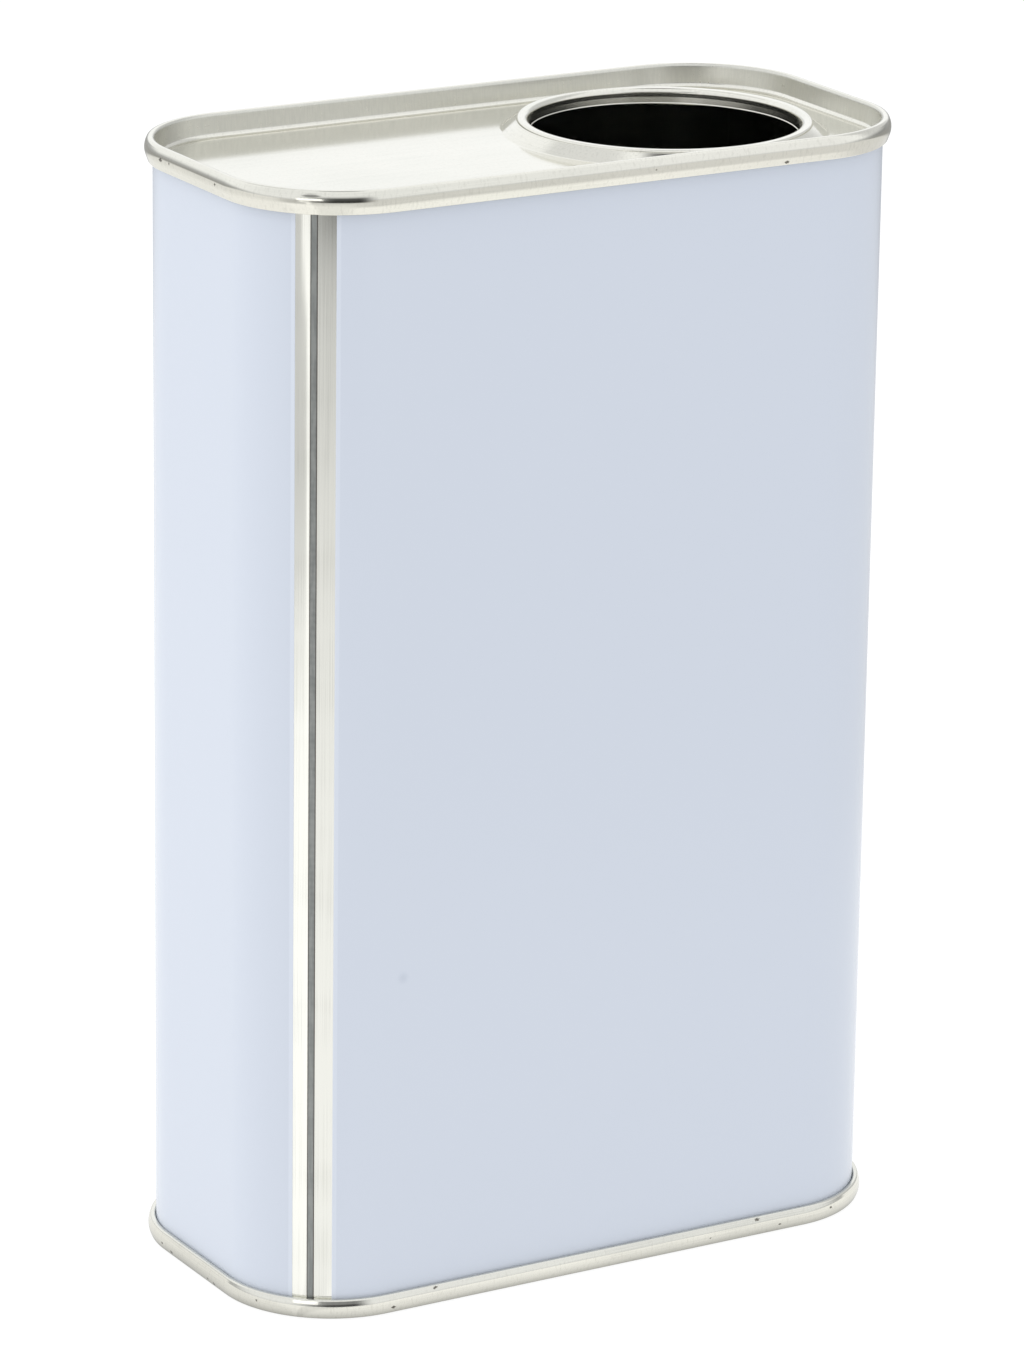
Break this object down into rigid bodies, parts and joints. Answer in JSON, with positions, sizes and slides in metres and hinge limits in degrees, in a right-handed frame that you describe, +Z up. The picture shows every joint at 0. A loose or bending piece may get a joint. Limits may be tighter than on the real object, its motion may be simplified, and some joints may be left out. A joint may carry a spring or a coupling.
{
  "type": "rectangular metal can",
  "caption": "Rectangular tinplate can with rounded corners, double-seamed ends, a welded side seam, white lacquered walls and a low round neck for a press-in closure.",
  "frame": {"origin": "middle of the base, on the plane that the bottom seam stands on", "axes": "+Z up through the can, +X along the long side towards the neck, +Y along the short side away from the front face"},
  "size_m": [0.1136, 0.0584, 0.1773],
  "materials": {
    "tinplate": "bright electrolytic tinplate with a fine rolled grain",
    "white_lacquer": "smooth gloss roller-coated lacquer, cool white",
    "weld": "grey lap weld with a fine ripple",
    "seam_compound": "matt cured sealing compound"
  },
  "bodies": {
    "root": {"body_wall": "tinplate", "side_seam_weld": "weld", "lacquer_coat": "white_lacquer", "top_end": "tinplate", "top_seam_compound": "seam_compound", "bottom_end": "tinplate", "bottom_seam_compound": "seam_compound"}
  },
  "joints": []
}
